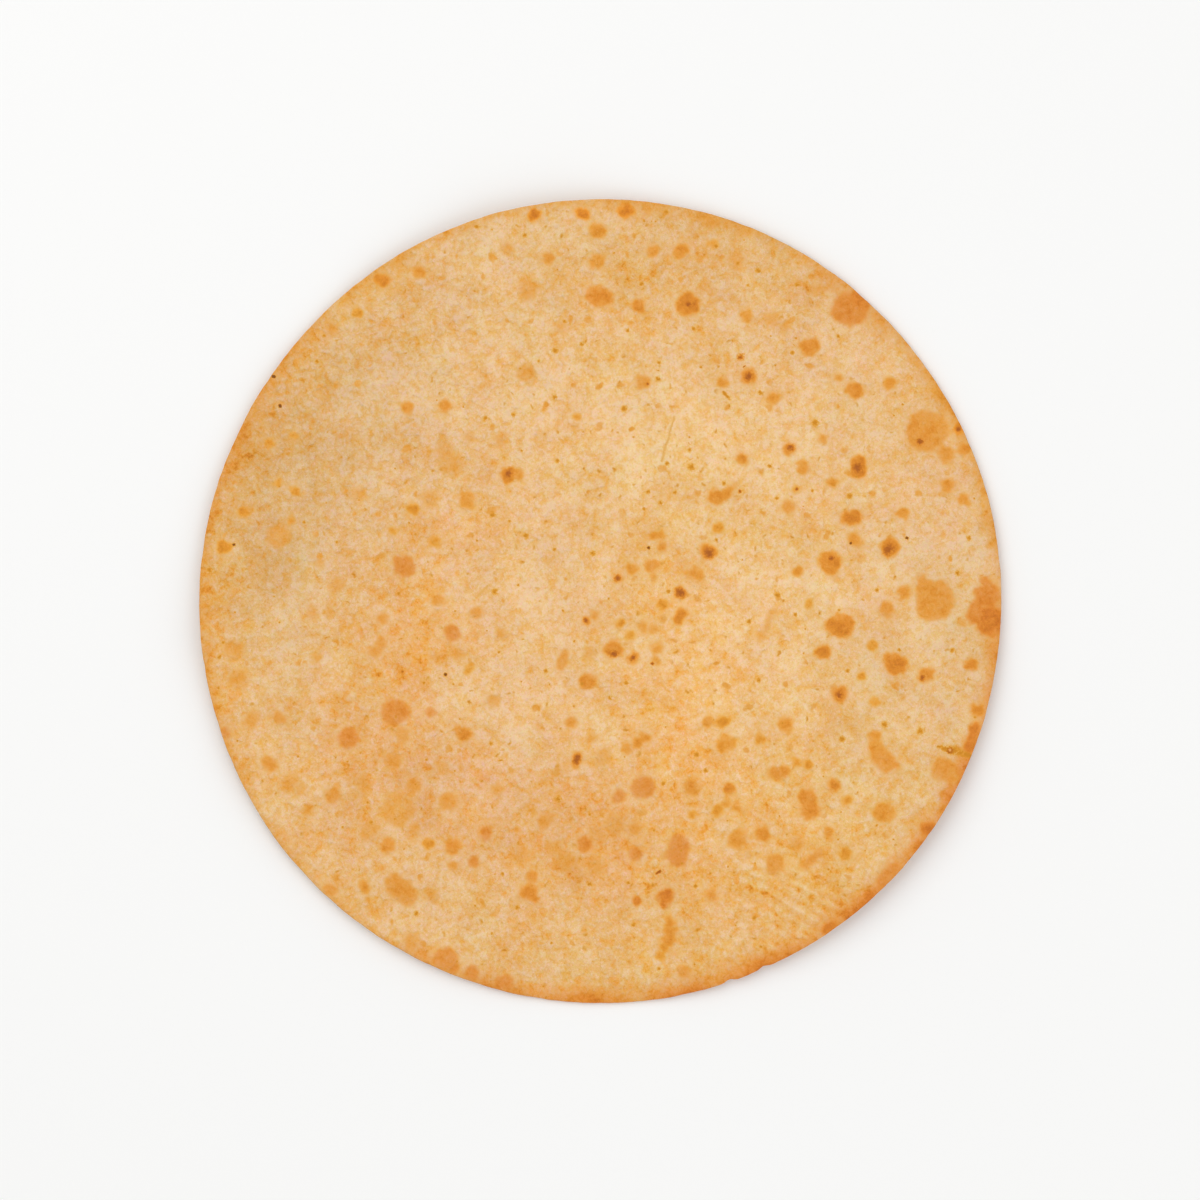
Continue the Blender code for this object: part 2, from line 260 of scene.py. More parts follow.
# Soft patches: middle, reach along x and y, and the look to add there. Their shares of light are partly
# painted shade and light from the tilt of the sheet: the strongest of them darken the left of the sheet.
PATCHES = (
    (4, -54, 36, 15, -0.2, 0, 0), (-47, -34, 17, 15, -0.2, -0.035, 0), (0, -86, 40, 8, -0.1, 0.02, -0.015),
    (-85, 6, 11, 34, -0.24, 0.01, 0.04), (-64, 6, 18, 18, 0.14, 0, -0.02), (-72, 40, 12, 16, -0.13, 0, 0),
    (77, 14, 14, 18, 0.25, -0.015, 0), (74, -16, 14, 16, 0.13, -0.01, -0.02), (14, 2, 9, 9, -0.16, 0, 0.05),
    (-45, -6, 13, 20, -0.25, -0.015, 0.035), (2, 70, 16, 11, -0.12, 0.02, 0), (-2, 83, 16, 7, 0.09, 0, 0),
    (22, 72, 20, 11, -0.07, -0.01, 0), (-22, 52, 26, 18, 0.07, 0, 0), (-46, 42, 14, 16, 0.13, 0, 0),
    (12, 35, 24, 12, 0.1, 0.01, 0.04), (34, 34, 22, 10, 0.07, 0, 0.02),
    (-14, 0, 12, 24, 0.1, -0.015, 0.015), (-28, -26, 16, 14, 0.17, 0, 0.01),
    (42, 2, 14, 14, 0.07, 0.01, 0.03), (-72, -14, 10, 8, 0.12, 0, 0), (-22, 76, 14, 9, 0.11, 0, -0.01),
    (-33, 64, 10, 9, 0, 0, -0.04), (-32, -68, 14, 8, 0.09, 0, 0), (52, 58, 14, 14, 0.14, -0.02, 0),
    (40, -50, 24, 20, -0.13, 0, 0.01), (32, -48, 8, 8, 0.14, -0.01, 0), (48, -16, 10, 9, 0.1, 0, 0),
    (49, -65, 12, 9, -0.18, 0.02, 0), (-16, -65, 11, 9, -0.1, 0, 0), (18, -30, 10, 12, -0.12, 0, 0.04),
    (-48, 66, 12, 8, -0.04, 0, -0.02), (-24, -46, 30, 16, 0, -0.048, -0.02),
    (-45, 48, 48, 38, -0.025, 0, 0), (-38, 14, 14, 24, 0, -0.025, 0.02), (22, 22, 24, 18, 0, 0.02, 0),
    (0, 48, 34, 12, 0.06, 0, 0.01), (54, -46, 20, 24, 0, 0.038, 0), (2, -54, 12, 14, 0, -0.03, 0),
    (79, 28, 9, 14, -0.1, -0.03, 0), (82, 8, 10, 14, 0, 0, -0.02), (64, -46, 9, 9, 0, 0, -0.02),
    (30, -84, 26, 8, -0.09, 0.03, 0.02), (-78, 14, 17, 26, 0, 0.01, -0.115), (-58, 40, 26, 26, 0, 0, -0.1),
    (22, -12, 18, 18, 0, 0, 0.08), (84, -10, 10, 40, 0, 0.03, -0.025), (62, -26, 12, 14, 0, 0, -0.04),
    (20, 84, 50, 12, 0, 0, -0.05), (40, 70, 24, 14, 0, 0, -0.025), (24, -46, 34, 26, 0, 0, 0.055),
    (-82, -30, 7, 10, -0.08, 0, 0), (40, 30, 14, 10, 0, 0, 0.02),
)
# Where the skin is more pebbly: middle, reach along x and y, and by what share. There the lumps stand
# higher and tint more, which paints shade into the hollows between them.
PEBBLY_PATCHES = ((-45, 48, 48, 38, 0.35),)
# Browning of the rim: direction and reach round the rim (degrees), strength, width of the band
# (mm), and the share of green to add. A faint band runs all the way round.
BROWNED_RIM = (
    (-5, 9, 0.7, 3.0, -0.13), (-15, 7, 0.75, 2.6, -0.12), (-26, 9, 1.0, 2.8, -0.19),
    (-36, 6, 1.0, 2.5, -0.12), (-48, 12, 1.0, 3.2, -0.15), (-66, 12, 0.95, 2.9, -0.15),
    (-78, 7, 0.95, 2.9, -0.16), (-92, 8, 0.95, 3.2, -0.1), (-105, 9, 0.9, 2.4, -0.12),
    (-115, 5, 0.7, 3.0, -0.08), (-133, 9, 0.42, 1.8, 0.02), (-175, 9, 0.42, 2.6, -0.03),
    (155, 10, 0.46, 3.4, -0.08), (143, 7, 0.6, 2.6, -0.02), (126, 9, 0.6, 3.4, 0.04),
    (85, 8, 0.65, 2.8, 0.0), (70, 10, 0.6, 2.4, 0.03), (50, 12, 0.65, 3.2, -0.06),
    (30, 12, 0.85, 2.6, 0.0), (12, 9, 0.65, 2.6, -0.02),
)
FAINT_RIM = (0.39, 1.5)
RIM_TONE = -0.82
RIM_LIGHT = 0.03
# How unevenly the bands run: size and share of the bends, and the least and the most
RIM_BENDS = ((0.006, 0.35), (0.0022, 0.2))
RIM_BENDS_RANGE = (0.3, 2)
PLAIN_RIM_WEIGHT = 0.02
# Parallel marks left by the press, low on the right: middle, reach, direction, spacing
PRESS_MARKS = (43.0, -68.0, 14.0, 9.0, math.radians(-30), 2.3)
# The split beside the rim: inner tip, outer end, half width there (mm)
SPLIT = (75.2, -32.3, 82.6, -34.6, 1.2)
SPLIT_DEPTH = 0.0003

# Rise of a blister as a share of its radius, and how round its dome is
BLISTER_RISE = 0.07
DOME_POWER = 1.5
# Lumps of the crumb: size and depth
CRUMB_LUMPS = ((0.015, 0.0001), (0.007, 0.00006), (0.0035, 0.00005), (0.0018, 0.00003))
# How far the edges of spots wander, for wide and narrow bends
RAGGED = ((0.005, 0.00035), (0.0021, 0.00018))
PRESS_DEPTH = 0.00006
PRESS_TINT = 0.18
# How far the press marks wander, in spacings, the size of their bends, and seed
PRESS_WANDER = (0.35, 0.008, 41)
FAR_OUTSIDE_MM = 8.0
LOOK_BLEND_MM = 0.5
SPOT_FADE = 1.35
TRIANGLE_MM = 0.9
FADE_STEP = 0.25
CLEAR_MM = 1.8
TOP_SEED = 100
UNDERSIDE_SEED = 300
RIM_SEED_STEP = 10
# Strewn spots keep this far from the rim (mm), and most are small
STREWN_FROM_RIM = 2
SMALLER_POWER = 2.5
# Spots of the hidden face: how many, and their smallest and largest radii (mm)
UNDERSIDE_STREWN = {
    "browned": (46, 1.2, 4.8),
    "golden": (90, 0.8, 2.4),
    "faint": (70, 1.0, 3.8),
    "olive": (200, 0.25, 0.7),
    "crease": (6, 0.2, 0.3),
    "char": (16, 0.25, 0.4),
    "chip": (8, 0.25, 0.35),
}
# How many browned ones are deep red, how many have a core and its width, and the run of creases
UNDERSIDE_DEEP = 16
UNDERSIDE_CORES = (18, 0.4)
UNDERSIDE_CREASE = (3, 1)
# Its mottling: strength, size and mean
UNDERSIDE_MOTTLE = (0.16, 0.04, -0.05)

# Layout for baking: middle and radius of the circles for the top and underside, and the wall
LAYOUT_TOP = (0.372, 0.355)
LAYOUT_WALL = 0.008
LAYOUT_UNDERSIDE = (0.785, 0.205)

# ---- colours, light and view
# Doneness, from char up to the palest crumb, with the colour of each step
DONENESS = (
    (-2.2, (58, 32, 18)),
    (-1.5, (156, 86, 22)),
    (-1.1, (197, 118, 44)),
    (-0.8, (219, 140, 52)),
    (-0.6, (227, 155, 68)),
    (-0.33, (231, 169, 92)),
    (-0.1, (232, 179, 111)),
    (0.1, (235, 188, 128)),
    (0.3, (238, 197, 144)),
    (0.5, (241, 206, 160)),
)
MIRRORED = 0.022
# Shares of the three channels of each noise in the look of the crumb
BROAD_SHARES = (0.92, 0.17, 0.19)
SOFT_SHARES = (0.85, 0.08, 0.03)
GRAIN_SHARES = (1.08, 0.35, 0.09)
# Noises: size (mm), detail and roughness, some after a turn (degrees)
WOBBLE_NOISE = (3.0, 2.0, 0.6)
BROAD_NOISE = (20, 12.0, 3.0, 0.8)
SOFT_NOISE = (50, 2.4, 1.0, 0.7)
FINE_NOISE = (70, 0.6, 2.0, 0.85)
WOBBLE_MM = (2.4, 2.4, 2.4)
# Lumps of the skin: size (mm), how much they tint, and height (mm). The tint leaves their tops paler and
# the hollows between them browner: the crumb's own colour, with painted shade in the hollows where the skin
# is pebbly.
SKIN_LUMPS = ((2.6, 0.14, 0.09), (1.2, 0.21, 0.065))
# How softly they meet, and how steep they are
LUMP_BLEND = 0.35
LUMP_SLOPE = -2.2
# Height (mm) of the soft noise and the grain, and what pebbly skin takes off it
SOFT_HEIGHT = 0.17
GRAIN_HEIGHT = 0.15
PEBBLY_SMOOTHS = -0.5
# How far (mm) the soft noise and the grain shift the edges of spots
SOFT_EDGES = 1.3
GRAIN_EDGES = 1.2
# Cracks: the noise they follow and where in it they start and are full, the same for where
# there are any, and their tint
CRACK_NOISE = (5.0, 3.0, 0.6)
CRACK_LINE = (0.016, 0.004)
CRACKED_NOISE = (13.0, 1.0, 0.5)
CRACKED = (0.04, 0.12)
CRACK_TINT = -0.15
# The green and light that a paler tint brings along, in lumps and in the grain. In the grain the paler
# specks also turn lighter, partly a painted highlight.
PALER_BRINGS = (1.0, -0.09, -0.09)
GRAIN_BRINGS = (1.0, -0.16, 0.04)
# Painted highlights (glints) and pits of the grain: where they start and are full, and the look they add
PAINTED_GLINTS = (0.08, 0.2, (0.2, -0.02, 0.06))
PITS = (0.1, 0.22, (-0.16, 0.02, -0.02))
BASE_LOOK = (0.09, 0.0, 0.018)
# Soft blotches: size (mm), where they start and are full, and the look they add. Then the tones
# of the soft patches where they are strong and weak, and both strengths
BLOTCHES = (
    (7.0, 0.05, 0.2, (-0.15, 0.01, 0.02)),
    (3.0, 0.06, 0.16, (-0.2, 0.0, 0.03)),
)
BLOTCHES_BY_WARMTH = (-0.25, 0.1, 1.7, 0.7)
# How unevenly, in radii, small marks are drawn
MARK_WANDER = 1.5
# Small marks on top of the rest: field, look, and where the full look ends (radii)
SMALL_MARKS = (
    ("olive_offset", OLIVE, 0.25),
    ("crease_offset", CREASE, 0.1),
    ("core_offset", CORE, 0.15),
    ("char_offset", CHAR, 0.5),
    ("chip_offset", CHIP, 0.5),
)
# Shares of the crumb's look that show inside a browned spot
SOME_CRUMB = (0.5, 0.5, 0.5)
# Soft edges: how far (mm) inside the edge of a spot they start and are full. The halo fades in
# outside the edge and out at it.
BLISTER_EDGE = (-0.85, 0.55)
FAINT_EDGE = (-1.1, 1.1)
HALO_EDGES = ((-2.6, -0.9), (0.1, -0.6))
# The same for how a blister deepens inwards, with the tone added at both
DEEPENS = (0.0, 2.2, 0.0, -0.08)
FAINT_STRENGTH = 0.8
HALO_STRENGTH = 0.22
# Dots strewn at random: size of a cell, share of cells with a dot, radii (mm) and look
STREWN_DOTS = (
    (4.8, 0.28, 0.35, 0.9, (-0.46, 0.02, 0.03)),
    (2.9, 0.3, 0.12, 0.38, (-0.7, 0.09, -0.08)),
)
DOT_EDGE = (-0.25, 0.35)
# Detail and roughness of the noise of blotches, and its turn (degrees) for each mm of size
BLOTCH_NOISE = (2.0, 0.6)
BLOTCH_TURN = 10
# Roughness of the surface, what browned spots add to it, and how much it mirrors
ROUGHNESS = 0.62
SMOOTHER_IN_SPOTS = -0.12
SPECULAR = 0.3

FLOOR_SIZE = 3.0
FLOOR_GAP = 0.0001
FLOOR_COLOUR = (0.95, 0.95, 0.94, 1.0)
FLOOR_ROUGHNESS = 0.9
WORLD_LIGHT = 0.58
# Lamps: name, place, size and power
LAMPS = (
    ("key_light", (-0.55, 0.6, 1.1), 1.3, 8.15),
    ("fill_light", (0.8, -0.5, 0.9), 1.4, 4.9),
)
FRAME_SHARE = 0.6692
LENS = 200
CAMERA_PLACE = (-0.00008, 0.00034)

# ---- the form


def lumps(places, size, seed):
    """Smooth random heights, from about -1 to 1, in lumps of one size (gradient noise)."""
    cells = int(LUMP_FIELD * RADIUS / size) + 2
    turns = np.random.default_rng(seed).uniform(0, 2 * math.pi, (cells, cells))
    grid = places / size + cells / 2
    cell = np.floor(grid).astype(int)
    within = grid - cell
    ease = within ** 3 * (within * (within * 6 - 15) + 10)
    height = np.zeros(len(places))
    for right in (0, 1):
        for up in (0, 1):
            turn = turns[(cell[:, 0] + right) % cells, (cell[:, 1] + up) % cells]
            slope = np.cos(turn) * (within[:, 0] - right) + np.sin(turn) * (within[:, 1] - up)
            share_x = ease[:, 0] if right else 1 - ease[:, 0]
            share_y = ease[:, 1] if up else 1 - ease[:, 1]
            height += slope * share_x * share_y
    return height * LUMP_GAIN


def layered_lumps(places, layers, seed):
    """Sum of lumps of several sizes, each with its own height and draw."""
    height = np.zeros(len(places))
    for size, depth in layers:
        height += depth * lumps(places, size, seed)
        seed += 1
    return height


def rings_and_angles(flat):
    """How far out points of the flat fan lie, from 0 to 1, and their directions on the disc."""
    sector = 2 * math.pi / FAN_SIDES
    turn = np.arctan2(flat[:, 1], flat[:, 0]) - sector / 2
    corner = np.floor(turn / sector) * sector
    off_middle = turn - corner - sector / 2
    ring = np.hypot(flat[:, 0], flat[:, 1]) * np.cos(off_middle) / math.cos(sector / 2)
    along_side = 0.5 + np.tan(off_middle) / (2 * math.tan(sector / 2))
    return ring, corner + sector / 2 + along_side * sector


def directions(angles):
    """Flat vectors of length 1 that point along the angles."""
    return np.stack([np.cos(angles), np.sin(angles)], axis=1)


def turn_from(direction, angles):
    """How far angles are turned from a direction, at most half a turn either way."""
    return np.remainder(angles - direction + math.pi, 2 * math.pi) - math.pi


def outline_unevenness(angles):
    """How far the rim lies outside the plain circle in each direction."""
    uneven = np.zeros(len(angles))
    for count, size, crest in OUTLINE_BULGES:
        uneven += size * np.cos(count * (angles - crest))
    for direction, depth, half_width in NOTCHES:
        away = np.abs(turn_from(direction, angles)) * RADIUS
        uneven -= depth * np.clip(1 - away / half_width, 0, 1)
    return uneven + layered_lumps(RADIUS * directions(angles), RIM_CRUMBLE, CRUMBLE_SEED)


def beside_line(places, start, end):
    """Distances of points from the line between two points, and how far along it they lie."""
    start, end = np.array(start), np.array(end)
    run = end - start
    along = np.zeros(len(places))
    if run.any():
        along = np.clip((places - start) @ run / (run @ run), 0, 1)
    return np.linalg.norm(places - start - along[:, None] * run, axis=1), along


def warp_heights(places, angles):
    """Heights of the middle of the sheet: rim warps, shallow waves and ridges."""
    out = np.linalg.norm(places, axis=1) / RADIUS
    height = np.zeros(len(places))
    for crests, size, crest in RIM_WARPS:
        height += size * out ** WARP_POWER * np.cos(crests * (angles - crest))
    for size, length, direction, phase in SHEET_WAVES:
        across = places @ (math.cos(direction), math.sin(direction))
        height += size * np.sin(2 * math.pi * across / length + phase)
    for start, end, width, size in RIDGES:
        beside, along = beside_line(places, start, end)
        height += size * (1 - along) * np.exp(-(beside / width) ** 2)
    return height


def fan_lattice():
    """Top and underside as flat fans of even triangles, joined by a wall of narrow rows.

    The layer "side" is 1 on top, -1 on the underside and between them on the wall.
    """
    skin = bmesh.new()
    side = skin.verts.layers.float.new("side")
    bmesh.ops.create_circle(skin, cap_ends=True, cap_tris=True, segments=FAN_SIDES, radius=1)
    bmesh.ops.subdivide_edges(skin, edges=skin.edges[:], cuts=RINGS - 1, use_grid_fill=True)
    for vert in skin.verts:
        vert[side] = 1
    top = skin.verts[:] + skin.edges[:] + skin.faces[:]
    below = bmesh.ops.duplicate(skin, geom=top)["geom"]
    bmesh.ops.reverse_faces(skin, faces=[part for part in below if isinstance(part, bmesh.types.BMFace)])
    for vert in below:
        if isinstance(vert, bmesh.types.BMVert):
            vert[side] = -1
            vert.co.z = -1
    loops = [edge for edge in skin.edges if edge.is_boundary]
    wall = bmesh.ops.bridge_loops(skin, edges=loops)
    uprights = [edge for edge in wall["edges"] if edge.verts[0][side] != edge.verts[1][side]]
    bmesh.ops.subdivide_edges(skin, edges=uprights, cuts=RIM_ROWS - 1, use_grid_fill=True)
    bmesh.ops.recalc_face_normals(skin, faces=skin.faces[:])
    return skin


def blister_domes(places, blisters):
    """Heights of low domes over the blisters, each in proportion to its radius."""
    height = np.zeros(len(places))
    for _, spots in blisters:
        for spot in spots:
            radius = spot[-1] * MM
            beside, _ = beside_line(places, scaled(spot[:2]), scaled(spot[-3:-1]))
            dome = np.clip(1 - (beside / radius) ** 2, 0, 1) ** DOME_POWER
            height = np.maximum(height, BLISTER_RISE * radius * dome)
    return height


def press_marks(places):
    """Shallow parallel ridges left by the press, from -1 in a groove to 1 on a ridge."""
    x, y, reach, half_width, direction, spacing = PRESS_MARKS
    bend, size, seed = PRESS_WANDER
    from_middle = places / MM - (x, y)
    along = from_middle @ (math.cos(direction), math.sin(direction))
    across = from_middle @ (-math.sin(direction), math.cos(direction))
    fade = np.exp(-(along / reach) ** 4 - (across / half_width) ** 4)
    return fade * np.cos(2 * math.pi * (across / spacing + bend * lumps(places, size, seed)))


def scaled(point_mm):
    """A point given in millimetres, in metres."""
    return point_mm[0] * MM, point_mm[1] * MM


# ---- browning of a face


def ragged(places, seed):
    """Places shifted a little at random, so that what is drawn round them has uneven edges."""
    shifts = [layered_lumps(places, RAGGED, seed + axis * len(RAGGED)) for axis in (0, 1)]
    return places + np.stack(shifts, axis=1)


def spot_edges(places, spots):
    """How far inside the nearest spot's edge each point is, in mm; it is below 0 outside."""
    edge = np.full(len(places), -FAR_OUTSIDE_MM)
    for spot in spots:
        beside, _ = beside_line(places, scaled(spot[:2]), scaled(spot[-3:-1]))
        edge = np.maximum(edge, spot[-1] - beside / MM)
    return edge


def blister_looks(places, blisters):
    """How far inside the nearest blister's edge each point is, in mm, and the look there.

    The look is a mean over all looks, and the blister that is nearest weighs most.
    """
    edge = np.full(len(places), -FAR_OUTSIDE_MM)
    total = np.zeros((len(places), 3))
    weights = np.zeros(len(places))
    for look, spots in blisters:
        inside = spot_edges(places, spots)
        weight = np.exp(inside / LOOK_BLEND_MM)
        total += weight[:, None] * look
        weights += weight
        edge = np.maximum(edge, inside)
    return edge, total / weights[:, None]


def spot_offsets(places, spots):
    """Vectors from the nearest spot's middle, in radii of it, so that a small spot stays sharp.

    Beyond the triangles that a spot touches, the third component grows. That keeps the length
    from dipping between two spots.
    """
    offset = np.zeros((len(places), 3))
    nearest = np.full(len(places), np.inf)
    for spot in spots:
        start, run = np.array(spot[:2]), np.subtract(spot[-3:-1], spot[:2])
        radius = spot[-1]
        distance, along = beside_line(places / MM, spot[:2], spot[-3:-1])
        away = places / MM - start - along[:, None] * run
        closer = distance - radius < nearest
        nearest[closer] = (distance - radius)[closer]
        offset[closer, :2] = away[closer] / radius
        beyond = distance[closer] - SPOT_FADE * radius - TRIANGLE_MM
        offset[closer, 2] = FAR_OUTSIDE_MM * np.clip(beyond / FADE_STEP, 0, 1)
    return offset


def soft_patches(places, patches):
    """Sum of what the soft patches add at each point."""
    total = np.zeros((len(places), len(patches[0]) - 4))
    for x, y, reach_x, reach_y, *added in patches:
        away = (places / MM - (x, y)) / (reach_x, reach_y)
        total += np.exp(-(away ** 2).sum(axis=1))[:, None] * added
    return total


def rim_browning(places, angles, from_rim, seed):
    """Browning of the rim, from 0 to 1, and its look: bands of uneven width round the bread."""
    uneven = np.clip(1 + layered_lumps(places, RIM_BENDS, seed), *RIM_BENDS_RANGE)
    strength, width = FAINT_RIM
    brown = strength * np.exp(-(from_rim / (width * MM * uneven)) ** 2)
    green = np.zeros(len(places))
    weights = np.full(len(places), PLAIN_RIM_WEIGHT)
    for direction, reach, strength, width, hue in BROWNED_RIM:
        away = turn_from(math.radians(direction), angles)
        round_rim = np.exp(-(away / math.radians(reach)) ** 2)
        inwards = np.exp(-(from_rim / (width * MM * uneven)) ** 2)
        brown = np.maximum(brown, strength * round_rim * inwards)
        green += hue * round_rim
        weights += round_rim
    look = np.full((len(places), 3), (RIM_TONE, 0, RIM_LIGHT))
    look[:, 1] = green / weights
    return brown, look


def random_spots(draw, count, smallest, largest):
    """Spots strewn over the whole disc, most of them small."""
    spots = []
    for _ in range(count):
        angle = draw.uniform(0, 2 * math.pi)
        out = (RADIUS / MM - STREWN_FROM_RIM) * math.sqrt(draw.uniform())
        radius = smallest + (largest - smallest) * draw.uniform() ** SMALLER_POWER
        spots.append((out * math.cos(angle), out * math.sin(angle), radius))
    return spots


def with_clear_ones(spots, more):
    """The given spots and those of the others that keep clear of all before them."""
    kept = list(spots)
    for spot in more:
        gaps = [math.dist(spot[:2], other[:2]) - SPOT_FADE * (spot[-1] + other[-1]) for other in kept]
        if min(gaps, default=CLEAR_MM) >= CLEAR_MM:
            kept.append(spot)
    return kept


def shown_spots():
    """Spots of the face that shows, with the smallest olive specks strewn at random."""
    olive = [(*place, radius) for radius, *places in OLIVE_MARKS for place in places]
    olive += random_spots(np.random.default_rng(TOP_SEED), *OLIVE_SPECKS_STREWN)
    return {
        "blisters": BLISTERS,
        "faint": FAINT_SPOTS,
        "olive": with_clear_ones(SPLIT_FLOOR, olive),
        "crease": CREASES,
        "core": DARK_CORES,
        "char": CHAR_SPECKS,
        "chip": PALE_CHIPS,
    }


def underside_spots():
    """Spots of the same kinds, strewn over the face that is hidden."""
    draw = np.random.default_rng(UNDERSIDE_SEED)
    strewn = {kind: random_spots(draw, *sizes) for kind, sizes in UNDERSIDE_STREWN.items()}
    browned, golden = strewn.pop("browned"), strewn.pop("golden")
    deep, rest = browned[:UNDERSIDE_DEEP], browned[UNDERSIDE_DEEP:]
    count, core = UNDERSIDE_CORES
    run_x, run_y = UNDERSIDE_CREASE
    strewn["blisters"] = ((DEEP_RED, deep), (BROWN, rest), (PALE_GOLD, golden))
    strewn["olive"] = with_clear_ones((), strewn["olive"])
    strewn["crease"] = [(x, y, x + run_x, y + run_y, radius) for x, y, radius in strewn["crease"]]
    strewn["core"] = [(x, y, core * radius) for x, y, radius in browned[:count]]
    return strewn


def face_fields(places, angles, from_rim, spots, seed):
    """What the crust material reads on one face: a dict of attribute name to values."""
    uneven = ragged(places, seed)
    edge, look = blister_looks(uneven, spots["blisters"])
    brown, rim_look = rim_browning(places, angles, from_rim, seed + RIM_SEED_STEP)
    fields = {
        "blister_edge": edge,
        "blister_look": look,
        "faint_edge": spot_edges(uneven, spots["faint"]),
        "rim_brown": brown,
        "rim_look": rim_look,
    }
    for kind in ("core", "crease"):
        fields[kind + "_offset"] = spot_offsets(uneven, spots[kind])
    for kind in ("olive", "char", "chip"):
        fields[kind + "_offset"] = spot_offsets(places, spots[kind])
    return fields


# ---- the mesh


def places_of(skin):
    """Where each point of the fan lattice lies on the bread, with its direction and its side."""
    side_layer = skin.verts.layers.float["side"]
    flat = np.array([vert.co[:2] for vert in skin.verts])
    side = np.array([vert[side_layer] for vert in skin.verts])
    ring, angles = rings_and_angles(flat)
    reach = (RADIUS - RIM_ROUNDING) * ring + outline_unevenness(angles) * ring ** OUTLINE_POWER
    reach += RIM_ROUNDING * np.sqrt(1 - side ** 2)
    return directions(angles) * reach[:, None], angles, ring, side


def top_relief(places, spots):
    """Height of the blisters, the crumb, the press marks and the split above the plain top."""
    height = blister_domes(places, spots["blisters"])
    height += layered_lumps(places, CRUMB_LUMPS, TOP_SEED) + PRESS_DEPTH * press_marks(places)
    beside, along = beside_line(places, scaled(SPLIT[:2]), scaled(SPLIT[2:4]))
    return height - SPLIT_DEPTH * np.clip(1 - beside / (SPLIT[4] * MM * (0.4 + along)), 0, 1)


def underside_relief(places, spots):
    """The same for the hidden face."""
    height = blister_domes(places, spots["blisters"])
    return height + layered_lumps(places, CRUMB_LUMPS, UNDERSIDE_SEED)


def heights(places, angles, side, top_spots, hidden_spots):
    """Heights of all points: the warped sheet, its thickness, and the relief of its faces."""
    from_rim = RADIUS - np.linalg.norm(places, axis=1)
    share = np.clip(from_rim / RIM_BAND, 0, 1)
    thickness = RIM_THICKNESS + (THICKNESS - RIM_THICKNESS) * share
    height = warp_heights(places, angles) + side * thickness / 2
    height += np.clip(side, 0, 1) * top_relief(places, top_spots)
    return height - np.clip(-side, 0, 1) * underside_relief(places, hidden_spots)


def store_fields(mesh, fields):
    """Keep each field as an attribute on the points: plain numbers, or vectors of three."""
    for name, values in fields.items():
        kind, key = ("FLOAT", "value") if values.ndim == 1 else ("FLOAT_VECTOR", "vector")
        attribute = mesh.attributes.new(name, kind, "POINT")
        attribute.data.foreach_set(key, values.astype(np.float32).ravel())


def lay_out(mesh, ring, angles, side):
    """The layout for baking: the top and the wall in a wide circle, the underside in a small one."""
    around = directions(angles)
    wall = LAYOUT_WALL * (1 - side) / 2
    top = LAYOUT_TOP[0] + around * (LAYOUT_TOP[1] * ring + wall)[:, None]
    hidden = LAYOUT_UNDERSIDE[0] - around * (1, -1) * (LAYOUT_UNDERSIDE[1] * ring)[:, None]
    corners = np.empty(len(mesh.loops), int)
    mesh.loops.foreach_get("vertex_index", corners)
    faces = np.repeat(np.arange(len(mesh.polygons)), [len(face.vertices) for face in mesh.polygons])
    highest = np.full(len(mesh.polygons), -1.0)
    np.maximum.at(highest, faces, side[corners])
    is_hidden = (highest < -0.999)[faces]
    layout = mesh.uv_layers.new(name="OFBake")
    layout.data.foreach_set("uv", np.where(is_hidden[:, None], hidden[corners], top[corners]).ravel())


def browning(places, angles, from_rim, side, top_spots, hidden_spots):
    """All that the crust material reads: the fields of the top, and of the underside below it."""
    shown = face_fields(places, angles, from_rim, top_spots, TOP_SEED)
    # The soft patches tint the top; their light shares are partly painted shade and light
    shown["patch_look"] = soft_patches(places, PATCHES)
    shown["patch_look"][:, 0] += PRESS_TINT * press_marks(places)
    shown["pebbly"] = soft_patches(places, PEBBLY_PATCHES)[:, 0]
    hidden = face_fields(places, angles, from_rim, hidden_spots, UNDERSIDE_SEED)
    strength, size, mean = UNDERSIDE_MOTTLE
    hidden["patch_look"] = np.zeros((len(places), 3))
    hidden["patch_look"][:, 0] = strength * lumps(places, size, UNDERSIDE_SEED) + mean
    hidden["pebbly"] = np.zeros(len(places))
    on_top = side > 0
    return {
        name: np.where(on_top if values.ndim == 1 else on_top[:, None], values, hidden[name])
        for name, values in shown.items()
    }


def add_object(name, content, place=(0, 0, 0)):
    """An object in the scene."""
    added = bpy.data.objects.new(name, content)
    added.location = place
    bpy.context.scene.collection.objects.link(added)
    return added


def make_bread():
    """The whole bread as one closed mesh that stands where the CAD solid does."""
    skin = fan_lattice()
    places, angles, ring, side = places_of(skin)
    top_spots, hidden_spots = shown_spots(), underside_spots()
    mesh = bpy.data.meshes.new("khakhra_crust")
    skin.to_mesh(mesh)
    skin.free()
    from_rim = np.clip(RADIUS - np.linalg.norm(places, axis=1), 0, None) * (ring > 0)
    fields = browning(places, angles, from_rim, side, top_spots, hidden_spots)
    store_fields(mesh, fields)
    lay_out(mesh, ring, angles, side)

    place = np.column_stack([places, heights(places, angles, side, top_spots, hidden_spots)])
    middle = (place.min(axis=0) + place.max(axis=0)) / 2
    middle[2] = place[:, 2].min()
    stand = np.array([(CAD_LOW.x + CAD_HIGH.x) / 2, (CAD_LOW.y + CAD_HIGH.y) / 2, CAD_LOW.z])
    mesh.vertices.foreach_set("co", (place - middle + stand).ravel())
    mesh.update()
    mesh.shade_smooth()
    return add_object("khakhra_crust", mesh)


# ---- the crust material


def linear(red, green, blue):
    """A colour as it looks, in the usual 0 to 255 steps, as the linear values that shaders take.

    The white light that the surface mirrors is taken off, because the shader adds it.
    """
    shares = [step / 255 for step in (red, green, blue)]
    seen = [s / 12.92 if s <= 0.04045 else ((s + 0.055) / 1.055) ** 2.4 for s in shares]
    return [max(s - MIRRORED, 0.001) for s in seen] + [1.0]


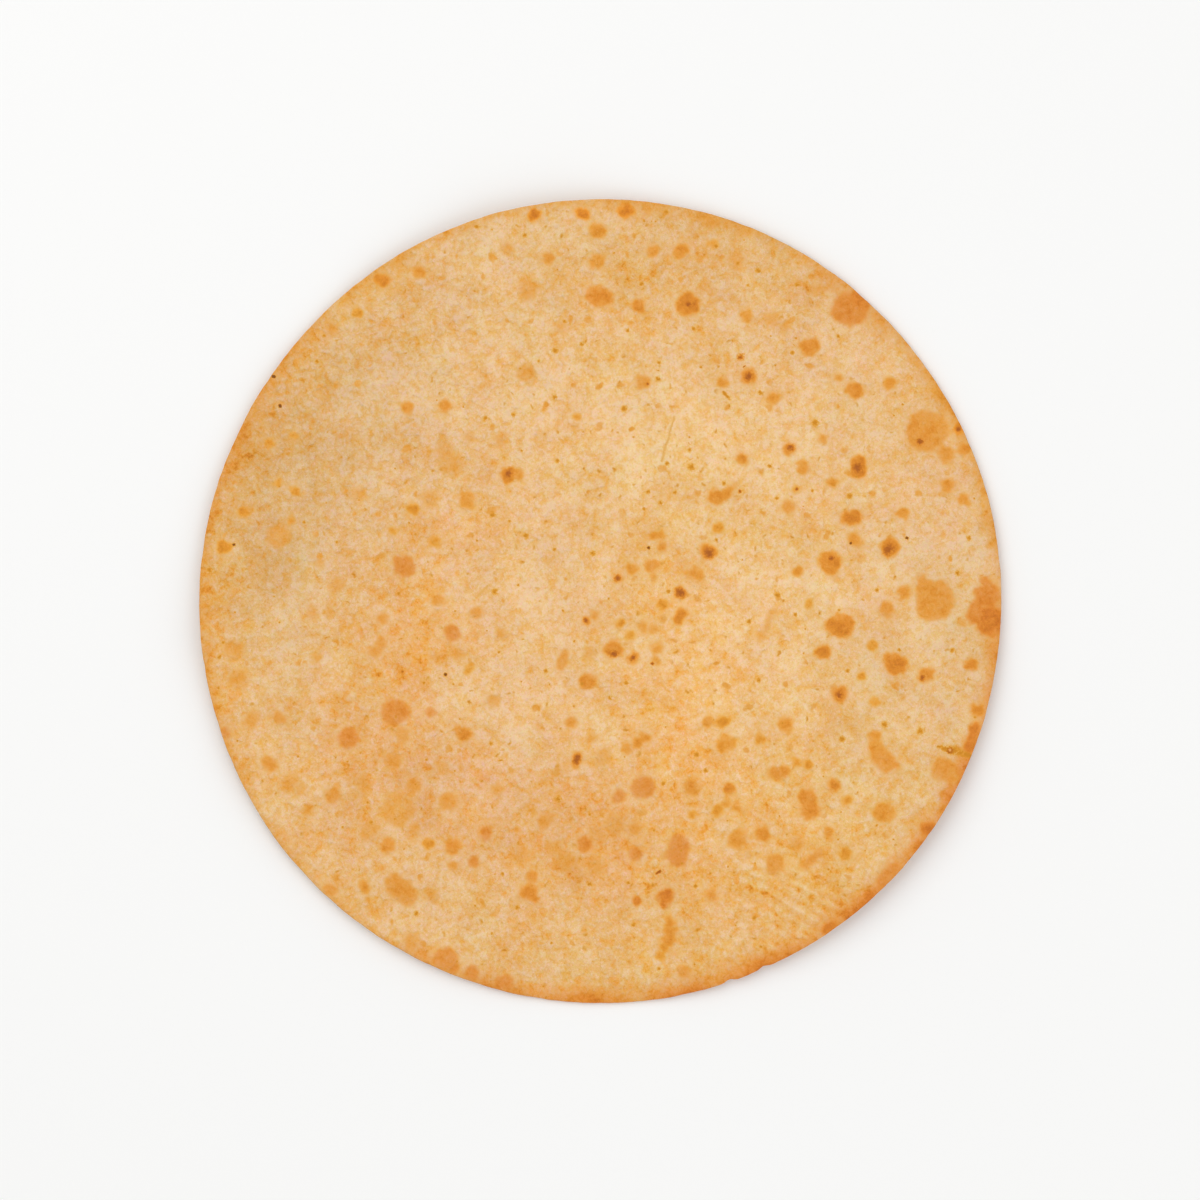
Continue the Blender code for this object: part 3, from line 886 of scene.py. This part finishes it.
def add_node(tree, kind, inputs, **settings):
    """A shader node with its settings, and with its inputs linked or set."""
    node = tree.nodes.new(kind)
    for name, value in settings.items():
        setattr(node, name, value)
    for socket, value in inputs.items():
        if isinstance(value, bpy.types.NodeSocket):
            tree.links.new(value, node.inputs[socket])
        else:
            node.inputs[socket].default_value = value
    return node


def reckon(tree, operation, first, second=0.0, third=0.0):
    """The result of one piece of arithmetic."""
    inputs = {0: first, 1: second, 2: third}
    return add_node(tree, "ShaderNodeMath", inputs, operation=operation).outputs[0]


def ease(tree, value, low, high, at_low=0.0, at_high=1.0):
    """A value that turns smoothly from at_low to at_high as the given one goes from low to high."""
    inputs = {"Value": value, "From Min": low, "From Max": high, "To Min": at_low, "To Max": at_high}
    node = add_node(tree, "ShaderNodeMapRange", inputs, interpolation_type="SMOOTHSTEP")
    return node.outputs["Result"]


def vector_sum(tree, vector, shares, start):
    """A vector times the share of each of its parts, added to another vector."""
    inputs = {0: vector, 1: shares, 2: start}
    return add_node(tree, "ShaderNodeVectorMath", inputs, operation="MULTIPLY_ADD").outputs[0]


def plus(tree, first, second):
    """The sum of two vectors."""
    return vector_sum(tree, first, (1, 1, 1), second)


def times(tree, vector, value):
    """A vector times a number."""
    return add_node(tree, "ShaderNodeVectorMath", {0: vector, "Scale": value}, operation="SCALE").outputs[0]


def blend_looks(tree, first, second, share):
    """A look between two others."""
    inputs = {0: share, 4: first, 5: second}
    return add_node(tree, "ShaderNodeMix", inputs, data_type="VECTOR").outputs[1]


def read_field(tree, name, output="Fac"):
    """A field that the mesh keeps."""
    return add_node(tree, "ShaderNodeAttribute", {}, attribute_name=name).outputs[output]


def noise(tree, places, size_mm, detail, roughness):
    """Three independent noises about 0 as a vector, with their widest lumps of one size."""
    inputs = {"Vector": places, "Scale": 1 / size_mm, "Detail": detail, "Roughness": roughness}
    node = add_node(tree, "ShaderNodeTexNoise", inputs, noise_dimensions="2D")
    return vector_sum(tree, node.outputs["Color"], (1, 1, 1), (-0.5, -0.5, -0.5))


def parts(tree, vector):
    """The three parts of a vector."""
    return add_node(tree, "ShaderNodeSeparateXYZ", {0: vector}).outputs


def turned(tree, places, degrees):
    """Places turned about the middle, so that the grids behind two noises don't line up."""
    inputs = {"Vector": places, "Angle": math.radians(degrees)}
    node = add_node(tree, "ShaderNodeVectorRotate", inputs, rotation_type="Z_AXIS")
    return node.outputs[0]


def pebbles(tree, places, size_mm):
    """Round lumps of one size, side by side: 1 on top of each, below 0 between them."""
    inputs = {"Vector": places, "Scale": 1 / size_mm, "Smoothness": LUMP_BLEND}
    node = add_node(tree, "ShaderNodeTexVoronoi", inputs, voronoi_dimensions="2D", feature="SMOOTH_F1")
    return reckon(tree, "MULTIPLY_ADD", node.outputs["Distance"], LUMP_SLOPE, 1.0)


def doneness_colours(tree, doneness):
    """Colour of the crust for how pale (above 0) or how browned (below 0) it is."""
    char, palest = DONENESS[0][0], DONENESS[-1][0]
    share = reckon(tree, "DIVIDE", reckon(tree, "SUBTRACT", doneness, char), palest - char)
    node = add_node(tree, "ShaderNodeValToRGB", {"Fac": share})
    stops = node.color_ramp.elements
    while len(stops) < len(DONENESS):
        stops.new(0.5)
    for stop, (step, colour) in zip(stops, DONENESS):
        stop.position = (step - char) / (palest - char)
        stop.color = linear(*colour)
    return node.outputs["Color"]


def strewn_dots(tree, places, size_mm, share, smallest, largest):
    """Small toasted dots at random, in a share of the cells of one size: 1 inside, 0 outside."""
    node = add_node(tree, "ShaderNodeTexVoronoi", {"Vector": places, "Scale": 1 / size_mm},
                    voronoi_dimensions="2D")
    draws = parts(tree, node.outputs["Color"])
    radius = reckon(tree, "MULTIPLY_ADD", draws[0], largest - smallest, smallest)
    edge = reckon(tree, "MULTIPLY_ADD", node.outputs["Distance"], -size_mm, radius)
    inside = ease(tree, edge, *DOT_EDGE)
    strength = ease(tree, draws[1], share, 0.5 * share)
    return reckon(tree, "MULTIPLY", inside, strength)


def fine_cracks(tree, places):
    """Thin winding cracks in the skin, here and there: 1 in a crack, 0 beside it."""
    winding, cracked = (parts(tree, noise(tree, places, *kind))[0] for kind in (CRACK_NOISE, CRACKED_NOISE))
    line = ease(tree, reckon(tree, "ABSOLUTE", winding), *CRACK_LINE)
    here = ease(tree, cracked, *CRACKED)
    return reckon(tree, "MULTIPLY", line, here)


def crumb_pattern(tree, places):
    """The crumb: its look, height (mm), unevenness for the edges of spots, grain, wobbly places."""
    wobbly = vector_sum(tree, noise(tree, places, *WOBBLE_NOISE), WOBBLE_MM, places)
    broad, soft, fine = (
        noise(tree, turned(tree, places, turn), *kind)
        for turn, *kind in (BROAD_NOISE, SOFT_NOISE, FINE_NOISE)
    )
    smooth, shifts, _ = parts(tree, soft)
    grain, pinker, darker = parts(tree, fine)
    pebbly = read_field(tree, "pebbly")
    more = reckon(tree, "ADD", pebbly, 1.0)
    tint = height = 0.0
    # Lumps: paler tops and browner hollows, their own colour and, where pebbly, painted shade
    for size_mm, tinting, rise in SKIN_LUMPS:
        lump = reckon(tree, "MULTIPLY", pebbles(tree, wobbly, size_mm), more)
        tint = reckon(tree, "MULTIPLY_ADD", lump, tinting, tint)
        height = reckon(tree, "MULTIPLY_ADD", lump, rise, height)
    tint = reckon(tree, "MULTIPLY_ADD", fine_cracks(tree, wobbly), CRACK_TINT, tint)
    tint = reckon(tree, "MULTIPLY_ADD", smooth, SOFT_SHARES[0], tint)
    look = vector_sum(tree, broad, BROAD_SHARES, times(tree, PALER_BRINGS, tint))
    look = vector_sum(tree, soft, (0, *SOFT_SHARES[1:]), look)
    look = vector_sum(tree, fine, (0, *GRAIN_SHARES[1:]), look)
    # Paler grain turns lighter and pinker, partly a painted highlight
    grainy = times(tree, GRAIN_BRINGS, reckon(tree, "MULTIPLY", grain, GRAIN_SHARES[0]))
    look = plus(tree, grainy, look)
    # Sparse painted highlights (glints) and darker pits in the grain
    for draw, (start, full, added) in ((pinker, PAINTED_GLINTS), (darker, PITS)):
        sparse = ease(tree, draw, -start, -full)
        look = plus(tree, times(tree, added, sparse), look)
    rough = reckon(tree, "MULTIPLY", smooth, SOFT_HEIGHT)
    rough = reckon(tree, "MULTIPLY_ADD", grain, GRAIN_HEIGHT, rough)
    kept = reckon(tree, "MULTIPLY_ADD", pebbly, PEBBLY_SMOOTHS, 1.0)
    height = reckon(tree, "MULTIPLY_ADD", rough, kept, height)
    uneven = reckon(tree, "MULTIPLY", shifts, SOFT_EDGES)
    uneven = reckon(tree, "MULTIPLY_ADD", grain, GRAIN_EDGES, uneven)
    return look, height, uneven, fine, wobbly


def spot_share(tree, name, core, fine):
    """Share of a small spot's look from its field of offsets: 1 in its core, 0 outside."""
    offset = vector_sum(tree, fine, (MARK_WANDER, MARK_WANDER, 0), read_field(tree, name, "Vector"))
    length = add_node(tree, "ShaderNodeVectorMath", {0: offset}, operation="LENGTH").outputs["Value"]
    return ease(tree, length, SPOT_FADE, core)


def crust_looks(tree, crumb_look, uneven, fine, places, wobbly):
    """The whole browning as one look, from the crumb to the char, and where it is spots."""
    # Soft patches: tints, with painted shade and light in part of their light shares
    patch_look = read_field(tree, "patch_look", "Vector")
    strength = ease(tree, parts(tree, patch_look)[0], *BLOTCHES_BY_WARMTH)
    look = plus(tree, BASE_LOOK, plus(tree, crumb_look, patch_look))
    for size_mm, start, full, added in BLOTCHES:
        turned_places = turned(tree, places, BLOTCH_TURN * size_mm)
        draw = parts(tree, noise(tree, turned_places, size_mm, *BLOTCH_NOISE))[1]
        blotch = reckon(tree, "MULTIPLY", ease(tree, draw, start, full), strength)
        look = plus(tree, times(tree, added, blotch), look)
    for size_mm, share, smallest, largest, dot_look in STREWN_DOTS:
        dots = strewn_dots(tree, wobbly, size_mm, share, smallest, largest)
        look = blend_looks(tree, look, vector_sum(tree, crumb_look, SOME_CRUMB, dot_look), dots)

    rim = vector_sum(tree, crumb_look, SOME_CRUMB, read_field(tree, "rim_look", "Vector"))
    look = blend_looks(tree, look, rim, read_field(tree, "rim_brown"))
    faint = reckon(tree, "ADD", uneven, read_field(tree, "faint_edge"))
    tinted = vector_sum(tree, crumb_look, SOME_CRUMB, FAINT)
    look = blend_looks(tree, look, tinted, ease(tree, faint, *FAINT_EDGE, 0.0, FAINT_STRENGTH))

    edge = reckon(tree, "ADD", uneven, read_field(tree, "blister_edge"))
    outer, inner = (ease(tree, edge, *ends) for ends in HALO_EDGES)
    halo = reckon(tree, "MULTIPLY", outer, inner)
    look = blend_looks(tree, look, HALO, reckon(tree, "MULTIPLY", halo, HALO_STRENGTH))
    inside = ease(tree, edge, *BLISTER_EDGE)
    browned = vector_sum(tree, crumb_look, SOME_CRUMB, read_field(tree, "blister_look", "Vector"))
    deeper = add_node(tree, "ShaderNodeCombineXYZ", {0: ease(tree, edge, *DEEPENS)}).outputs[0]
    look = blend_looks(tree, look, plus(tree, deeper, browned), inside)

    for name, marked, core in SMALL_MARKS:
        look = blend_looks(tree, look, marked, spot_share(tree, name, core, fine))
    return look, inside


def look_colour(tree, look):
    """The colour of a look: that of its doneness, with green and light added."""
    doneness, green, light = parts(tree, look)
    all_three = reckon(tree, "ADD", light, 1.0)
    greener = reckon(tree, "MULTIPLY_ADD", all_three, green, all_three)
    gain = add_node(tree, "ShaderNodeCombineXYZ", {0: all_three, 1: greener, 2: all_three}).outputs[0]
    return vector_sum(tree, doneness_colours(tree, doneness), gain, (0, 0, 0))


def new_material(name):
    """A material, with its shader."""
    material = bpy.data.materials.new(name)
    material.use_nodes = True
    return material, material.node_tree.nodes["Principled BSDF"]


def crust_material():
    """Roasted dough: mottled cream and gold, with browned blisters, a browned rim and char."""
    material, shader = new_material("crisp_crust")
    tree = material.node_tree
    coordinates = add_node(tree, "ShaderNodeTexCoord", {})
    places = times(tree, coordinates.outputs["Object"], 1 / MM)

    crumb_look, height, uneven, fine, wobbly = crumb_pattern(tree, places)
    look, spotted = crust_looks(tree, crumb_look, uneven, fine, places, wobbly)
    tree.links.new(look_colour(tree, look), shader.inputs["Base Color"])
    roughness = reckon(tree, "MULTIPLY_ADD", spotted, SMOOTHER_IN_SPOTS, ROUGHNESS)
    tree.links.new(roughness, shader.inputs["Roughness"])
    shader.inputs["Specular IOR Level"].default_value = SPECULAR

    bump = add_node(tree, "ShaderNodeBump", {"Height": height, "Distance": MM, "Strength": 1.0})
    tree.links.new(bump.outputs["Normal"], shader.inputs["Normal"])
    return material


# ---- stage, light and camera


def plain_material(name, colour, roughness):
    """A plain matte surface for the stage."""
    material, shader = new_material(name)
    shader.inputs["Base Color"].default_value = colour
    shader.inputs["Roughness"].default_value = roughness
    return material


def make_floor():
    """A wide, pale floor just under the bread."""
    bpy.ops.mesh.primitive_plane_add(size=FLOOR_SIZE, location=(0, 0, CAD_LOW.z - FLOOR_GAP))
    floor = bpy.context.object
    floor.name = "floor"
    floor.data.materials.append(plain_material("floor_paint", FLOOR_COLOUR, FLOOR_ROUGHNESS))
    return floor


def make_light(name, place, size, power):
    """A soft square lamp that faces the middle of the bread."""
    lamp = bpy.data.lights.new(name, "AREA")
    lamp.size = size
    lamp.energy = power
    holder = add_object(name, lamp, place)
    holder.rotation_euler = (-Vector(place)).to_track_quat("-Z", "Y").to_euler()


def make_world():
    """Even white light from all round."""
    world = bpy.data.worlds.new("studio")
    world.use_nodes = True
    light = world.node_tree.nodes["Background"]
    light.inputs["Color"].default_value = (1, 1, 1, 1)
    light.inputs["Strength"].default_value = WORLD_LIGHT
    bpy.context.scene.world = world


def make_camera():
    """A camera straight above, as high as makes the bread fill its share of the frame."""
    lens = bpy.data.cameras.new("camera")
    lens.lens = LENS
    half_view = lens.sensor_width / 2 / lens.lens
    place = (*CAMERA_PLACE, CAD_HIGH.z / 2 + RADIUS / (FRAME_SHARE * half_view))
    bpy.context.scene.camera = add_object("camera", lens, place)


bread = make_bread()
bread.data.materials.append(crust_material())
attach(bread, BODY)
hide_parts(NODE)
make_floor()
for lamp in LAMPS:
    make_light(*lamp)
make_world()
make_camera()
bpy.context.scene.view_settings.view_transform = "Standard"
